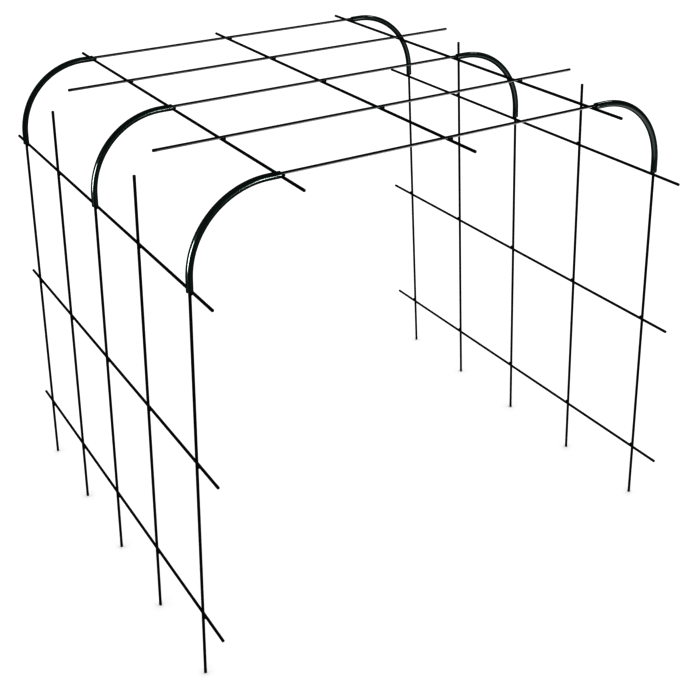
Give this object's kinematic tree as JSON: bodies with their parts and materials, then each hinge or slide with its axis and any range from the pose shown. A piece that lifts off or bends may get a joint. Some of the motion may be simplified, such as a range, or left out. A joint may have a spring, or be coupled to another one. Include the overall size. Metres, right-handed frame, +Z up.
{
  "type": "trellis arch",
  "caption": "Open garden tunnel arch for climbing plants: flat welded rod panels for the top and two sides, joined by curved tubes.",
  "frame": {"origin": "on the ground, in the middle of the arch", "axes": "+X across the tunnel to the right side panel, +Y along the tunnel to the back, +Z up"},
  "size_m": [0.9846, 0.936, 0.8766],
  "materials": {
    "rod_coat": "satin dark green plastic coat over steel wire",
    "tube_coat": "glossy dark green plastic coat over bent steel tube"
  },
  "bodies": {
    "top_panel": {"top_long_rod_1": "rod_coat", "top_long_rod_2": "rod_coat", "top_long_rod_3": "rod_coat", "top_long_rod_4": "rod_coat", "top_long_rod_5": "rod_coat", "top_cross_rod_left": "rod_coat", "top_cross_rod_middle": "rod_coat", "top_cross_rod_right": "rod_coat"},
    "left_elbows": {"left_elbow_1": "tube_coat", "left_elbow_3": "tube_coat", "left_elbow_5": "tube_coat"},
    "left_panel": {"left_upright_1": "rod_coat", "left_upright_2": "rod_coat", "left_upright_3": "rod_coat", "left_upright_4": "rod_coat", "left_upright_5": "rod_coat", "left_cross_rod_bottom": "rod_coat", "left_cross_rod_middle": "rod_coat", "left_cross_rod_top": "rod_coat"},
    "right_elbows": {"right_elbow_1": "tube_coat", "right_elbow_3": "tube_coat", "right_elbow_5": "tube_coat"},
    "right_panel": {"right_upright_1": "rod_coat", "right_upright_2": "rod_coat", "right_upright_3": "rod_coat", "right_upright_4": "rod_coat", "right_upright_5": "rod_coat", "right_cross_rod_bottom": "rod_coat", "right_cross_rod_middle": "rod_coat", "right_cross_rod_top": "rod_coat"}
  },
  "joints": [
    {"name": "left_elbows_pull_off", "type": "slide", "parent": "top_panel", "child": "left_elbows", "axis": [-1, 0, 0], "range_m": [0, 0.04]},
    {"name": "left_panel_pull_out", "type": "slide", "parent": "left_elbows", "child": "left_panel", "axis": [-0.0436, 0, -0.999], "range_m": [0, 0.04]},
    {"name": "right_elbows_pull_off", "type": "slide", "parent": "top_panel", "child": "right_elbows", "axis": [1, 0, 0], "range_m": [0, 0.04]},
    {"name": "right_panel_pull_out", "type": "slide", "parent": "right_elbows", "child": "right_panel", "axis": [0.0436, 0, -0.999], "range_m": [0, 0.04]}
  ]
}
